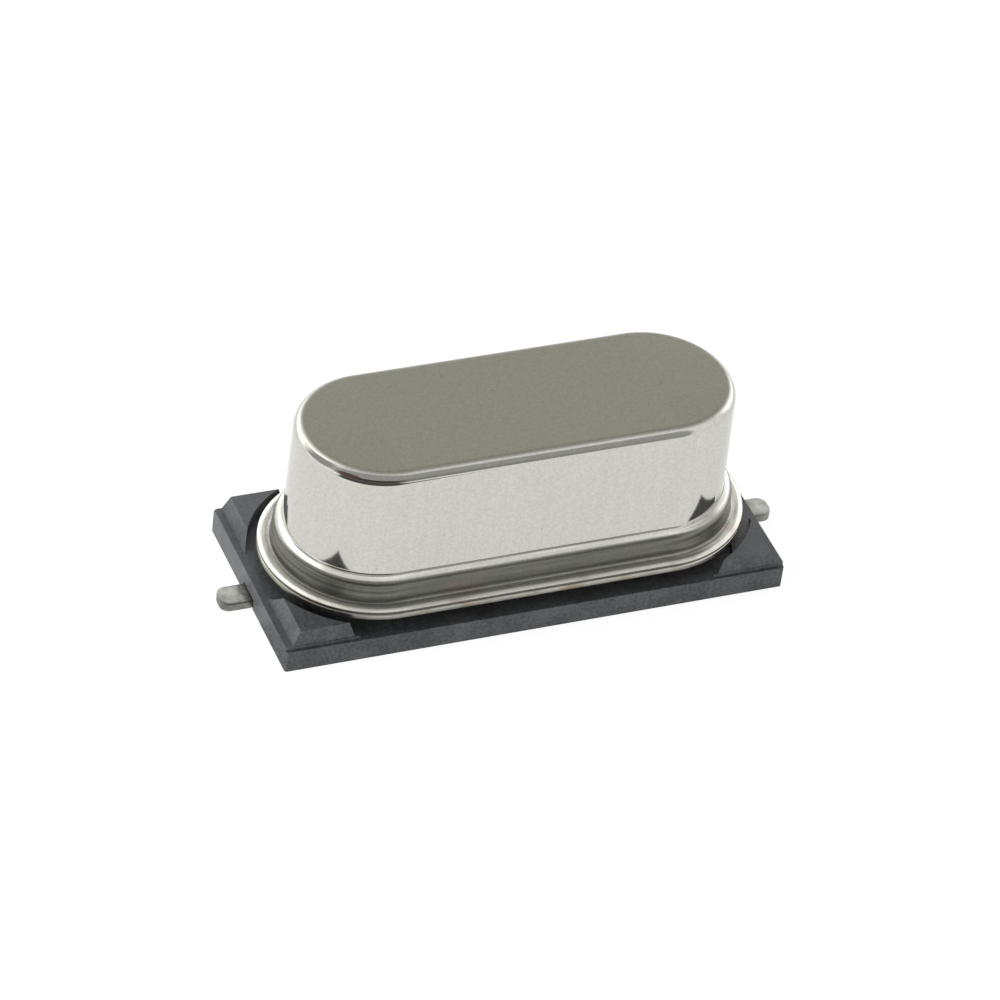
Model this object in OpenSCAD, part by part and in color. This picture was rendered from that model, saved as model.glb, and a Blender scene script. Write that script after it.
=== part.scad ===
// Surface-mount quartz crystal unit in a low metal can.
// A stepped, drawn can is resistance-welded to a stamped header.  The two
// leads pass through glass beads in the header, drop through a moulded
// insulator base, lie in grooves under it and leave at its ends as flat
// solder tails.  Inside, a quartz strip sits on two springs.
// The part stands on z = 0 with its length along X.

/* [Can] */
// Length of the can over its round ends, at the foot of the wall
can_l = 10; // [9.6:0.01:10.6]
// Width of the can across its flat sides, at the foot of the wall
can_w = 3.74; // [3.4:0.01:4.1]
// Height of the can above the joint between the two flanges
can_h = 3.32; // [2.6:0.01:4.5]
// How far the wall leans in from its foot to the top
wall_lean = 0.05; // [0:0.01:0.1]
// Thickness of the drawn sheet
sheet_t = 0.15; // [0.1:0.01:0.18]
// Radius where the wall turns into the top
top_round = 0.25; // [0.2:0.01:0.6]
// How far the skirt's upper edge stands out of the wall
skirt_step = 0.19; // [0.15:0.01:0.4]
// How far the skirt flares out on its way down to the flange
skirt_flare = 0.04; // [0.02:0.005:0.2]
// Height of the skirt's shoulder above the flange joint
skirt_h = 0.69; // [0.55:0.01:0.9]
// Fall of the shoulder from the wall out to the skirt
shoulder_fall = 0.1; // [0.02:0.01:0.12]
// Radius of the skirt's outer shoulder
shoulder_round = 0.14; // [0.05:0.01:0.16]
// Radius in the root between the wall and the shoulder
root_round = 0.08; // [0.03:0.01:0.12]
// Radius where the skirt turns out into the flange
flange_root = 0.04; // [0.02:0.01:0.06]

/* [Flanges] */
// Width of the flat ring between the skirt and the flange's sloping edge
flange_land = 0.16; // [0.12:0.005:0.3]
// Width of the sloping edge of the can's flange
edge_w = 0.11; // [0.05:0.01:0.2]
// How far that edge slopes down
edge_fall = 0.04; // [0.01:0.01:0.05]
// Thickness of the can's flange after welding
can_flange_t = 0.1; // [0.07:0.01:0.15]
// Thickness of the header's flange after welding
header_flange_t = 0.15; // [0.1:0.01:0.25]
// Radius on the rims of both flanges
rim_round = 0.04; // [0.01:0.005:0.05]

/* [Header] */
// Gap between the header's plateau and the inside of the skirt
plateau_gap = 0.04; // [0.02:0.01:0.1]
// Radius on the plateau's upper edge
plateau_round = 0.08; // [0.03:0.01:0.15]
// Radius of the glass beads that seal the leads
bead_r = 0.6; // [0.4:0.01:0.8]

/* [Leads] */
// Distance between the two leads
lead_pitch = 4.88; // [4.4:0.01:5.2]
// Diameter of the lead wire
lead_d = 0.43; // [0.3:0.01:0.5]
// Radius of the lead's bend, at the middle of the wire
bend_r = 0.4; // [0.3:0.01:0.5]
// Round wire left between the bend and the pressed length
wire_run = 0.1; // [0.05:0.01:0.2]
// How far the wire stands above the header inside the can
post_h = 0.35; // [0.2:0.01:0.6]
// Width of the flattened solder tail
tail_w = 0.6; // [0.45:0.01:0.8]
// Thickness of the flattened solder tail
tail_t = 0.23; // [0.12:0.01:0.3]
// How far each tail stands out of the base
tail_out = 0.67; // [0.5:0.01:1.2]
// Radius at the corners of the tail's tip
tail_round = 0.2; // [0.05:0.01:0.22]
// Length over which the round wire is pressed flat
flatten_l = 0.6; // [0.3:0.01:1]

/* [Insulator base] */
// How far the base reaches past the flange at each end
end_margin = 0.25; // [0.15:0.01:0.4]
// How far the base reaches past the flange at each side
side_margin = 0.055; // [0.05:0.005:0.2]
// Height of the slab
slab_t = 0.53; // [0.5:0.01:0.9]
// Height of the four corner blocks above the slab
block_h = 0.43; // [0.2:0.01:0.6]
// Ledge between the slab's long edges and the foot of a block
side_ledge = 0.06; // [0.02:0.01:0.12]
// Ledge between the slab's short edges and the foot of a block
end_ledge = 0.12; // [0.02:0.01:0.2]
// How far a block's long outer sides lean in over their height
side_lean = 0.08; // [0:0.01:0.15]
// How far a block's end faces lean in over their height
end_lean = 0.21; // [0.05:0.01:0.3]
// Gap between the flange's rim and the curved sides of the blocks
pocket_gap = 0.21; // [0.15:0.01:0.5]
// Height of the pad that carries the header above the slab
pad_h = 0.37; // [0.15:0.01:0.5]
// How far the pad stays inside the can's outline
pad_inset = 0.3; // [0.2:0.01:0.6]
// Height of the terrace at each end of the pocket
terrace_h = 0.08; // [0.05:0.01:0.15]
// Width of the terrace from the end of the base
terrace_l = 0.85; // [0.6:0.01:1]
// Radius at the inner corners of the terrace
terrace_round = 1.2; // [0.8:0.01:1.6]
// Break on the base's upright corners
corner_break = 0.06; // [0.02:0.01:0.12]
// Gap between a lead and its hole or groove
lead_gap = 0.1; // [0.05:0.01:0.15]
// Gap above the wire in its groove
groove_roof_gap = 0.02; // [0.01:0.01:0.05]
// Gap between a tail and the slot that it leaves the base through
slot_gap = 0.02; // [0.02:0.01:0.08]

/* [Springs] */
// Thickness of the spring strip
spring_t = 0.1; // [0.06:0.01:0.15]
// Width of the spring strip
spring_w = 1.5; // [1:0.01:1.8]
// Rise from the lead's post to the shelf under the blank
spring_rise = 0.3; // [0.15:0.01:0.5]
// How far the foot of the spring reaches inwards past the lead
spring_foot = 0.4; // [0.25:0.01:0.6]
// Length of the shelf under the end of the blank
shelf_l = 0.6; // [0.5:0.01:0.7]
// Height of the stop at the spring's outer end
stop_h = 0.24; // [0.1:0.01:0.3]

/* [Quartz blank] */
// Length of the quartz strip
blank_l = 8; // [7.8:0.01:8.2]
// Width of the quartz strip
blank_w = 1.9; // [1.6:0.01:2.2]
// Thickness of the quartz strip
blank_t = 0.17; // [0.1:0.01:0.25]
// Length of the electrodes
electrode_l = 4.2; // [3:0.1:5]
// Width of the electrodes
electrode_w = 1.4; // [1:0.1:1.6]
// Width of the track from an electrode to its end of the blank
track_w = 0.5; // [0.3:0.1:0.8]
// Thickness of the silver film
film_t = 0.02; // [0.01:0.005:0.03]
// Gap between the end of the blank and the stop
blank_gap = 0.1; // [0.05:0.01:0.15]
// Thickness of the cement under the blank
cement_t = 0.05; // [0.04:0.01:0.08]
// Radius of a dot of cement
cement_r = 0.22; // [0.15:0.01:0.24]
// How far the cement stands above the blank
cement_cap = 0.06; // [0.04:0.01:0.1]
// Gap between a dot of cement and the stop
cement_gap = 0.02; // [0.01:0.005:0.04]

/* [Hidden] */
$fn = 96;
eps = 0.01;

// Plan sizes, each as a width from the middle line of the can
spine_l = can_l - can_w;
can_r = can_w / 2;
skirt_r = can_r + skirt_step;
skirt_foot_r = skirt_r + skirt_flare;
flange_r = skirt_foot_r + flange_land + edge_w;
plateau_r = skirt_r - sheet_t - plateau_gap;
pocket_r = flange_r + pocket_gap;
base_l = spine_l + 2 * (flange_r + end_margin);
base_w = 2 * (flange_r + side_margin);

// Rim radii, which two opposite rims leave room for on a thin flange
can_rim = min(rim_round, (can_flange_t - edge_fall - eps) / 2);
header_rim = min(rim_round, (header_flange_t - eps) / 2);

// Levels above the board
seat_z = slab_t + pad_h;
joint_z = seat_z + header_flange_t;
plateau_z = joint_z + skirt_h - shoulder_fall - sheet_t - plateau_gap;
post_z = plateau_z + post_h;
shelf_z = post_z + spring_t + spring_rise;
blank_z = shelf_z + cement_t;

// Leads
lead_r = lead_d / 2;
lead_x = lead_pitch / 2;
bead_hole_r = lead_r + lead_gap;
tail_end_x = base_l / 2 + tail_out;
groove_w = tail_w + 2 * lead_gap;
groove_h = lead_d + groove_roof_gap;
slot_w = tail_w + 2 * slot_gap;
slot_h = tail_t + slot_gap;
press_x = lead_x + bend_r + wire_run;
flat_x = press_x + flatten_l;

// Springs
stop_x = blank_l / 2 + blank_gap;
shelf_x = stop_x + spring_t - shelf_l;
dot_x = stop_x - cement_gap - cement_r;

// Sweeps a half profile, drawn as distance from the middle line and
// height, round an outline with straight sides and half-round ends.
module sweep_round(straight_l) {
    for (side = [-1, 1])
        translate([side * straight_l / 2, 0, 0])
            rotate_extrude() children();
    translate([-straight_l / 2, 0, 0])
        rotate([90, 0, 90])
            linear_extrude(straight_l) {
                children();
                mirror([1, 0]) children();
            }
}

// A plain solid with straight sides and half-round ends
module round_slab(radius, height) {
    sweep_round(spine_l) square([radius, height]);
}

// The far side of the part, for pieces that come as a left and a right one
module on_side(side) {
    if (side < 0) mirror([1, 0, 0]) children();
    else children();
}

// The direction from one point to another
function toward(from, to) = (to - from) / norm(to - from);

// The way round a corner: positive where the profile turns left
function turn(before, at, after) = cross(at - before, after - at);

// Half of the angle between the two sides of a corner
function half_angle(before, at, after) =
    acos(toward(at, before) * toward(at, after)) / 2;

// The middle of the arc that rounds a corner
function arc_middle(before, at, after, radius) =
    at + toward([0, 0], toward(at, before) + toward(at, after))
        * radius / sin(half_angle(before, at, after));

// The two points where that arc meets the sides
function arc_ends(before, at, after, radius) =
    let (reach = radius / tan(half_angle(before, at, after)))
        [at + reach * toward(at, before), at + reach * toward(at, after)];

// A half profile, given anticlockwise as corners of [distance from the
// middle line, height, radius], with true arcs at its corners
module rounded_profile(corners) {
    count = len(corners);
    points = [for (corner = corners) [corner[0], corner[1]]];
    before = [for (i = [0:count - 1]) points[(i + count - 1) % count]];
    after = [for (i = [0:count - 1]) points[(i + 1) % count]];
    difference() {
        union() {
            polygon([
                for (i = [0:count - 1])
                    each corners[i][2] == 0 ? [points[i]]
                        : arc_ends(before[i], points[i], after[i], corners[i][2])
            ]);
            for (i = [0:count - 1])
                if (corners[i][2] > 0 && turn(before[i], points[i], after[i]) > 0)
                    translate(arc_middle(before[i], points[i], after[i], corners[i][2]))
                        circle(corners[i][2]);
        }
        for (i = [0:count - 1])
            if (corners[i][2] > 0 && turn(before[i], points[i], after[i]) < 0)
                translate(arc_middle(before[i], points[i], after[i], corners[i][2]))
                    circle(corners[i][2]);
    }
}

// Outside of the can, from the flange up over the skirt and the wall
module can_outside() {
    rounded_profile([
        [0, 0, 0],
        [flange_r, 0, can_rim],
        [flange_r, can_flange_t - edge_fall, can_rim],
        [flange_r - edge_w, can_flange_t, 0],
        [skirt_foot_r, can_flange_t, flange_root],
        [skirt_r, skirt_h - shoulder_fall, shoulder_round],
        [can_r, skirt_h, root_round],
        [can_r - wall_lean, can_h, top_round],
        [0, can_h, 0]
    ]);
}

// Inside of the can, which runs past its open side
module can_inside() {
    rounded_profile([
        [0, -eps, 0],
        [skirt_foot_r - sheet_t, -eps, 0],
        [skirt_foot_r - sheet_t, can_flange_t, 0],
        [skirt_r - sheet_t, skirt_h - shoulder_fall - sheet_t, 0],
        [can_r - sheet_t, skirt_h - sheet_t, 0],
        [can_r - wall_lean - sheet_t, can_h - sheet_t, max(top_round - sheet_t, eps)],
        [0, can_h - sheet_t, 0]
    ]);
}

module header_outside() {
    rounded_profile([
        [0, 0, 0],
        [flange_r, 0, header_rim],
        [flange_r, header_flange_t, header_rim],
        [plateau_r, header_flange_t, 0],
        [plateau_r, plateau_z - seat_z, plateau_round],
        [0, plateau_z - seat_z, 0]
    ]);
}

module can() {
    color("silver")
        translate([0, 0, joint_z])
            difference() {
                sweep_round(spine_l) can_outside();
                sweep_round(spine_l) can_inside();
            }
}

module header() {
    color("darkgray")
        difference() {
            translate([0, 0, seat_z])
                sweep_round(spine_l) header_outside();
            for (side = [-1, 1])
                translate([side * lead_x, 0, seat_z - eps])
                    cylinder(r = bead_r, h = plateau_z - seat_z + 2 * eps);
        }
}

module glass_bead(side) {
    color("darkslategray")
        translate([side * lead_x, 0, seat_z])
            difference() {
                cylinder(r = bead_r, h = plateau_z - seat_z);
                translate([0, 0, -eps])
                    cylinder(r = lead_r, h = plateau_z - seat_z + 2 * eps);
            }
}

// The wire: a post through the bead, a quarter bend, a length pressed flat
// and the tail with its rounded tip
module lead(side) {
    color("gainsboro")
        on_side(side) {
            translate([lead_x, 0, lead_r + bend_r])
                cylinder(r = lead_r, h = post_z - lead_r - bend_r);
            translate([lead_x + bend_r, 0, lead_r + bend_r])
                rotate([-90, 0, 180])
                    rotate_extrude(angle = 90)
                        translate([bend_r, 0]) circle(lead_r);
            translate([lead_x + bend_r, 0, lead_r])
                rotate([0, 90, 0]) cylinder(r = lead_r, h = wire_run);
            hull() {
                translate([press_x - eps, 0, lead_r])
                    rotate([0, 90, 0]) cylinder(r = lead_r, h = eps, $fn = 32);
                translate([flat_x - eps, -tail_w / 2, 0])
                    cube([eps, tail_w, tail_t]);
            }
            linear_extrude(tail_t) {
                translate([flat_x - eps, -tail_w / 2])
                    square([tail_end_x - tail_round - flat_x + eps, tail_w]);
                translate([flat_x, tail_round - tail_w / 2])
                    square([tail_end_x - flat_x, tail_w - 2 * tail_round]);
                for (edge = [-1, 1])
                    translate([tail_end_x - tail_round, edge * (tail_w / 2 - tail_round)])
                        circle(tail_round);
            }
        }
}

// A cross-section that gets narrower towards its top
module trapezoid(foot, height, lean) {
    polygon([
        [-foot / 2, 0], [foot / 2, 0],
        [foot / 2 - lean, height], [lean - foot / 2, height]
    ]);
}

// A raised body with leaning outer sides, from two crossed trapezoids
module leaning_block(length, width, height) {
    intersection() {
        rotate([90, 0, 0])
            translate([0, 0, -width / 2])
                linear_extrude(width) trapezoid(length, height, end_lean);
        rotate([90, 0, 90])
            translate([0, 0, -length / 2])
                linear_extrude(length) trapezoid(width, height, side_lean);
    }
}

// Plan of a rectangle with equal breaks on its four corners
module broken_rectangle(length, width, cut) {
    polygon([
        for (corner = [[1, 1], [-1, 1], [-1, -1], [1, -1]], step = [0, 1])
            let (along = corner[0] * corner[1] > 0 ? step : 1 - step)
                [corner[0] * (length / 2 - (along == 0 ? 0 : cut)),
                 corner[1] * (width / 2 - (along == 0 ? cut : 0))]
    ]);
}

// Plan of a rectangle with round corners
module round_rectangle(length, width, radius) {
    square([length - 2 * radius, width], center = true);
    square([length, width - 2 * radius], center = true);
    for (x = [-1, 1], y = [-1, 1])
        translate([x * (length / 2 - radius), y * (width / 2 - radius)])
            circle(radius);
}

// Low steps at the two ends of the slab, which the corner blocks stand on
module terraces() {
    linear_extrude(terrace_h)
        difference() {
            broken_rectangle(base_l, base_w - 2 * side_ledge, corner_break);
            round_rectangle(base_l - 2 * terrace_l, base_w, terrace_round);
        }
}

module corner_blocks() {
    difference() {
        leaning_block(base_l - 2 * end_ledge, base_w - 2 * side_ledge, block_h);
        translate([0, 0, -eps]) round_slab(pocket_r, block_h + 2 * eps);
    }
}

module insulator_base() {
    color("dimgray")
        difference() {
            union() {
                linear_extrude(slab_t) broken_rectangle(base_l, base_w, corner_break);
                translate([0, 0, slab_t]) {
                    corner_blocks();
                    terraces();
                    round_slab(can_r - pad_inset, pad_h);
                }
            }
            for (side = [-1, 1])
                on_side(side) {
                    translate([lead_x, 0, -eps])
                        cylinder(r = bead_hole_r, h = seat_z + 2 * eps);
                    translate([lead_x - bead_hole_r, -groove_w / 2, -eps])
                        cube([flat_x + lead_gap - lead_x + bead_hole_r, groove_w, groove_h + eps]);
                    translate([flat_x, -slot_w / 2, -eps])
                        cube([base_l / 2, slot_w, slot_h + eps]);
                    translate([lead_x, -bead_hole_r, -eps])
                        cube([bend_r, 2 * bead_hole_r, lead_r + bend_r + eps]);
                }
        }
}

// A foot welded on the post, a riser, a shelf for the blank and a stop
module spring(side) {
    color("lightgray")
        on_side(side)
            translate([0, spring_w / 2, post_z])
                rotate([90, 0, 0])
                    linear_extrude(spring_w) {
                        translate([lead_x - spring_foot, 0])
                            square([shelf_x + spring_t - lead_x + spring_foot, spring_t]);
                        translate([shelf_x, 0])
                            square([spring_t, spring_rise + spring_t]);
                        translate([shelf_x, spring_rise])
                            square([shelf_l, spring_t]);
                        translate([stop_x, spring_rise])
                            square([spring_t, spring_t + stop_h]);
                    }
}

module quartz_blank() {
    color("azure")
        translate([-blank_l / 2, -blank_w / 2, blank_z])
            cube([blank_l, blank_w, blank_t]);
}

// A silver film in the middle of one face, with a track to one end
module electrode(side, level) {
    color("whitesmoke")
        translate([0, 0, level])
            on_side(side)
                linear_extrude(film_t) {
                    square([electrode_l, electrode_w], center = true);
                    translate([0, -track_w / 2])
                        square([blank_l / 2, track_w]);
                }
}

module electrode_top() {
    electrode(-1, blank_z + blank_t);
}

module electrode_bottom() {
    electrode(1, blank_z - film_t);
}

// A dot of silver cement that wraps the end of the blank
module cement(side) {
    color("gray")
        difference() {
            translate([side * dot_x, 0, shelf_z])
                cylinder(r = cement_r, h = blank_z - shelf_z + blank_t + cement_cap);
            quartz_blank();
            electrode_top();
            electrode_bottom();
        }
}

insulator_base();
can();
header();
glass_bead(-1);  // glass_bead_left
glass_bead(1);  // glass_bead_right
lead(-1);  // lead_left
lead(1);  // lead_right
spring(-1);  // spring_left
spring(1);  // spring_right
quartz_blank();
electrode_top();
electrode_bottom();
cement(-1);  // cement_left
cement(1);  // cement_right
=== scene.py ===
# %% [markdown]
# # A surface-mount quartz crystal unit
#
# A quartz crystal unit keeps time for a circuit. Its quartz strip sits in a low
# metal can, which is welded to a stamped header and stands on a moulded base
# with a flat solder tail at each end. The whole thing is only 13 mm long.
#
# The construction was made in a CAD program. This script loads it as a fixed
# frame and gives it its looks: smooth shells in place of the faceted ones, and
# a finish for every surface. It is read from top to bottom, as a lesson.

# %% Load the frame
import math

import bmesh
import bpy
from mathutils import Matrix, Vector


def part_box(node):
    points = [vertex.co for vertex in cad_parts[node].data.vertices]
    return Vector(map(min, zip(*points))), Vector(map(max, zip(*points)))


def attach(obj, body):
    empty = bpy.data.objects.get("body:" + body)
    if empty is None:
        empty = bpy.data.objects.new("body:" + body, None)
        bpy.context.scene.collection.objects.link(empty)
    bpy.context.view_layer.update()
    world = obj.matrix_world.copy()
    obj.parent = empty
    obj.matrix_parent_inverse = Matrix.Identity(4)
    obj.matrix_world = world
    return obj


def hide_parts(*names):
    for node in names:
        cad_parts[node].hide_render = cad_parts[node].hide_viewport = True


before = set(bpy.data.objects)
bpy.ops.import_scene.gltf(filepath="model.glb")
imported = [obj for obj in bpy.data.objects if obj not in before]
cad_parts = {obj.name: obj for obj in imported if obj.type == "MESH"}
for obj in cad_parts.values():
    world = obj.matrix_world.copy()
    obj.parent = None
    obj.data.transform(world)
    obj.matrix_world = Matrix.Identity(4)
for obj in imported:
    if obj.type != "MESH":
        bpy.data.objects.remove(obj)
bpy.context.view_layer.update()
print("nodes:", sorted(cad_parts))

# %% [markdown]
# ## One unit for a very small thing
#
# Blender works in metres, and this object's edges are rounded by hundredths of a
# millimetre. Such small numbers are hard to read and easy to get wrong, so each
# piece is drawn in millimetres and shrunk once, when it is finished. The main
# sizes come from the frame's own boxes, so they always agree with the CAD.

# %% Sizes in millimetres, read from the frame
MM = 0.001


def box_mm(node):
    """The lowest and highest corner of a CAD node, in millimetres."""
    low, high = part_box(node)
    return low / MM, high / MM


can_low, can_high = box_mm("can")
header_low, header_high = box_mm("header")
base_low, base_high = box_mm("insulator_base")
lead_low, lead_high = box_mm("lead_right")

flange_r = can_high.y
half_straight = can_high.x - flange_r
joint_z = can_low.z
can_top = can_high.z
seat_z = header_low.z
print(f"flange radius {flange_r:.3f}, half of the straight run {half_straight:.3f}")
print(f"header from {seat_z:.2f} to {header_high.z:.2f}, can from {joint_z:.2f} to {can_top:.2f}")

# %% [markdown]
# ## Rounded profiles
#
# The can and the header are both made by one move: a profile goes round an
# outline with two straight sides and two half-round ends. The profile is a chain
# of a few corner points, and Blender's bevel rounds each corner of the chain by
# its own radius. At a profile of 0.5 the bevel draws a true arc.

# %% Helper: a profile with rounded corners


def rounded_profile(bm, corners, segments=10):
    """A chain of edges in the YZ plane. Each corner is (distance from the middle
    line, height, radius)."""
    points = [bm.verts.new((0, -distance, height)) for distance, height, _ in corners]
    for first, second in zip(points, points[1:]):
        bm.edges.new((first, second))
    for point, (_, _, radius) in zip(points, corners):
        if not radius:
            continue
        sides = [edge.other_vert(point).co - point.co for edge in point.link_edges]
        turn = math.pi - sides[0].angle(sides[1])
        bmesh.ops.bevel(
            bm,
            geom=[point],
            offset=radius * math.tan(turn / 2),
            offset_type="OFFSET",
            affect="VERTICES",
            segments=segments,
            profile=0.5,
            material=-1,
            clamp_overlap=False,
        )
    return list(bm.edges)


# %% [markdown]
# ## Round the outline
#
# The profile starts at one end of a straight side. A half turn of bmesh's spin
# takes it round the end, an extrusion takes it along the straight, and a second
# half turn and extrusion bring it home, where the doubled points are merged.
# Points on the middle line stay put in the half turn, and merge into one pole.

# %% Helpers: take a profile round the outline
END_STEPS = 72
TINY = 0.001  # lengths below this count as nothing


def only(parts, kind):
    """The vertices or the edges among an operator's mixed results."""
    return [part for part in parts if isinstance(part, kind)]


def spin_edges(bm, edges, centre, axis, angle, steps):
    """Spins edges about an axis and returns their last copy."""
    points = list({point for edge in edges for point in edge.verts})
    made = bmesh.ops.spin(
        bm, geom=points + list(edges), cent=centre, axis=axis, angle=angle, steps=steps
    )
    return only(made["geom_last"], bmesh.types.BMEdge)


def extrude_by(bm, edges, shift):
    """Extrudes edges, moves their new copy on and returns it."""
    made = bmesh.ops.extrude_edge_only(bm, edges=edges)["geom"]
    bmesh.ops.translate(bm, verts=only(made, bmesh.types.BMVert), vec=shift)
    return only(made, bmesh.types.BMEdge)


def round_the_outline(bm, edges):
    """Closes a profile at x = 0 into a whole obround shell."""
    bmesh.ops.translate(bm, verts=bm.verts, vec=(half_straight, 0, 0))
    for side in (1, -1):
        centre = (side * half_straight, 0, 0)
        edges = spin_edges(bm, edges, centre, (0, 0, 1), math.pi, END_STEPS)
        edges = extrude_by(bm, edges, (-side * 2 * half_straight, 0, 0))
    bmesh.ops.remove_doubles(bm, verts=bm.verts, dist=TINY)


# %% [markdown]
# ## From a bmesh to a finished piece
#
# Every piece ends the same way. Its faces are turned outwards, its hard edges are
# marked, and it is shrunk to metres. Shading is smooth, but a plain average of
# the normals would bend the reflections in the large flat faces. The Weighted
# Normal modifier lets the large faces win, so flats look flat.

# %% Helper: finish a piece
HARD_EDGE = math.radians(40)


def finish_piece(bm, name, nodes, material):
    """Makes an object of a bmesh in millimetres, in place of the CAD nodes."""
    bmesh.ops.recalc_face_normals(bm, faces=bm.faces)
    for edge in bm.edges:
        edge.smooth = edge.is_manifold and edge.calc_face_angle(0) < HARD_EDGE
    for face in bm.faces:
        face.smooth = True
    open_edges = sum(1 for edge in bm.edges if not edge.is_manifold)
    volume = bm.calc_volume()
    bmesh.ops.scale(bm, verts=bm.verts, vec=(MM, MM, MM))
    mesh = bpy.data.meshes.new(name)
    bm.to_mesh(mesh)
    bm.free()
    mesh.materials.append(material)
    piece = bpy.data.objects.new(name, mesh)
    bpy.context.scene.collection.objects.link(piece)
    weighted = piece.modifiers.new("flats_stay_flat", "WEIGHTED_NORMAL")
    weighted.keep_sharp = True
    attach(piece, "root")
    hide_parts(*nodes)
    print(f"{name}: {len(mesh.polygons)} faces, {open_edges} open edges, {volume:.2f} mm3")
    return piece


# %% [markdown]
# ## Small helpers for materials
#
# A material is a small graph of nodes. Written out in full, each node would take
# four or five lines, so a few helpers keep the graphs readable. The main ones add
# a node and fill or link its inputs, and turn a value into a soft step. All
# patterns read Object coordinates, counted in millimetres.

# %% Helpers: nodes and values


def add(tree, kind, inputs=None, **settings):
    """Adds a node. An input that is given a socket is linked to it."""
    made = tree.nodes.new(kind)
    for name, value in settings.items():
        setattr(made, name, value)
    for name, value in (inputs or {}).items():
        if isinstance(value, bpy.types.NodeSocket):
            tree.links.new(value, made.inputs[name])
        else:
            made.inputs[name].default_value = value
    return made


def maths(tree, operation, first, second=0.0):
    """A Math node's output."""
    return add(tree, "ShaderNodeMath", {0: first, 1: second}, operation=operation).outputs[0]


def step(tree, value, start, end, low=0.0, high=1.0):
    """Goes smoothly from low to high while value goes from start to end."""
    limits = {"Value": value, "From Min": start, "From Max": end, "To Min": low, "To Max": high}
    made = add(tree, "ShaderNodeMapRange", limits, interpolation_type="SMOOTHSTEP")
    return made.outputs["Result"]


def times(tree, first, second):
    """The product of two values. For two masks, it is where both hold."""
    return maths(tree, "MULTIPLY", first, second)


def along_axes(tree, vector):
    """A vector's three parts, by their letters."""
    return add(tree, "ShaderNodeSeparateXYZ", {0: vector}).outputs


def along(tree, vector, direction):
    """How far a vector reaches in a direction."""
    inputs = {0: vector, 1: direction}
    return add(tree, "ShaderNodeVectorMath", inputs, operation="DOT_PRODUCT").outputs["Value"]


# %% Helpers: colours, places and relief
MM_PER_METRE = 1000.0


def blend(tree, factor, first, second):
    """A mix of two colours."""
    return add(tree, "ShaderNodeMix", {0: factor, 6: first, 7: second}, data_type="RGBA").outputs[2]


def grey(level, warmth=0.0):
    """A near-neutral colour. Warmth takes a share of the blue away."""
    return (level, level, level * (1 - warmth), 1.0)


def shaded(tree, colour, shade):
    """A colour made darker or lighter by a value."""
    return add(tree, "ShaderNodeVectorMath", {0: colour, "Scale": shade}, operation="SCALE").outputs[0]


def place_in_mm(tree):
    """The place on the piece, in millimetres, and the direction its surface faces."""
    source = add(tree, "ShaderNodeTexCoord")
    scaled = add(tree, "ShaderNodeVectorMath", {0: source.outputs["Object"]}, operation="SCALE")
    scaled.inputs["Scale"].default_value = MM_PER_METRE
    return scaled.outputs[0], source.outputs["Normal"]


def roughen(tree, shader, height, strength, depth_mm):
    """Lets a value stand for fine relief of that depth, through a Bump node."""
    inputs = {"Height": height, "Strength": strength, "Distance": depth_mm * MM}
    bump = add(tree, "ShaderNodeBump", inputs)
    tree.links.new(bump.outputs["Normal"], shader.inputs["Normal"])


def start_material(name):
    """An empty material with its Principled shader."""
    material = bpy.data.materials.new(name)
    material.use_nodes = True
    tree = material.node_tree
    tree.nodes.clear()
    shader = add(tree, "ShaderNodeBsdfPrincipled")
    output = add(tree, "ShaderNodeOutputMaterial")
    tree.links.new(shader.outputs["BSDF"], output.inputs["Surface"])
    return material, tree, shader


# %% [markdown]
# ## Four effects that several finishes share
#
# Drawing a cup out of sheet leaves fine upright lines on its wall, and pressing
# its rim leaves marks that run round it. Tumbling, moulding and plating leave a
# fine grain. Handling leaves a few specks. Each is a node group, built once, with
# its scale as an input, and each metal or plastic uses it with its own values.
# The groups put out masks only, and the shader stays outside.

# %% Shared effect: a group with named inputs


def start_group(name, inputs, outputs):
    """A node group. Returns its tree, its input node and its output node."""
    tree = bpy.data.node_groups.new(name, "ShaderNodeTree")
    for label, kind in inputs.items():
        tree.interface.new_socket(name=label, in_out="INPUT", socket_type=kind)
    for label in outputs:
        tree.interface.new_socket(name=label, in_out="OUTPUT", socket_type="NodeSocketFloat")
    return tree, add(tree, "NodeGroupInput"), add(tree, "NodeGroupOutput")


def use_group(tree, group, inputs):
    """Places a group in a material and returns its outputs."""
    return add(tree, "ShaderNodeGroup", inputs, node_tree=group).outputs


# %% Shared effect: upright drawing lines
LINE_STRETCH = 0.03


def make_drawing_lines():
    """Noise that is stretched along Z, so that it reads as upright lines."""
    inputs = {"Place": "NodeSocketVector", "Lines per mm": "NodeSocketFloat"}
    tree, given, result = start_group("drawing_lines", inputs, ["Lines"])
    stretch = add(tree, "ShaderNodeMapping", {"Vector": given.outputs["Place"]})
    stretch.inputs["Scale"].default_value = (1, 1, LINE_STRETCH)
    noise = add(tree, "ShaderNodeTexNoise", {"Vector": stretch.outputs[0]})
    noise.inputs["Detail"].default_value = 4
    tree.links.new(given.outputs["Lines per mm"], noise.inputs["Scale"])
    tree.links.new(noise.outputs["Fac"], result.inputs["Lines"])
    return tree


drawing_lines = make_drawing_lines()
print("group:", drawing_lines.name)

# %% Shared effect: lines round the rim
MARK_STRETCH = 0.04


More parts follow.
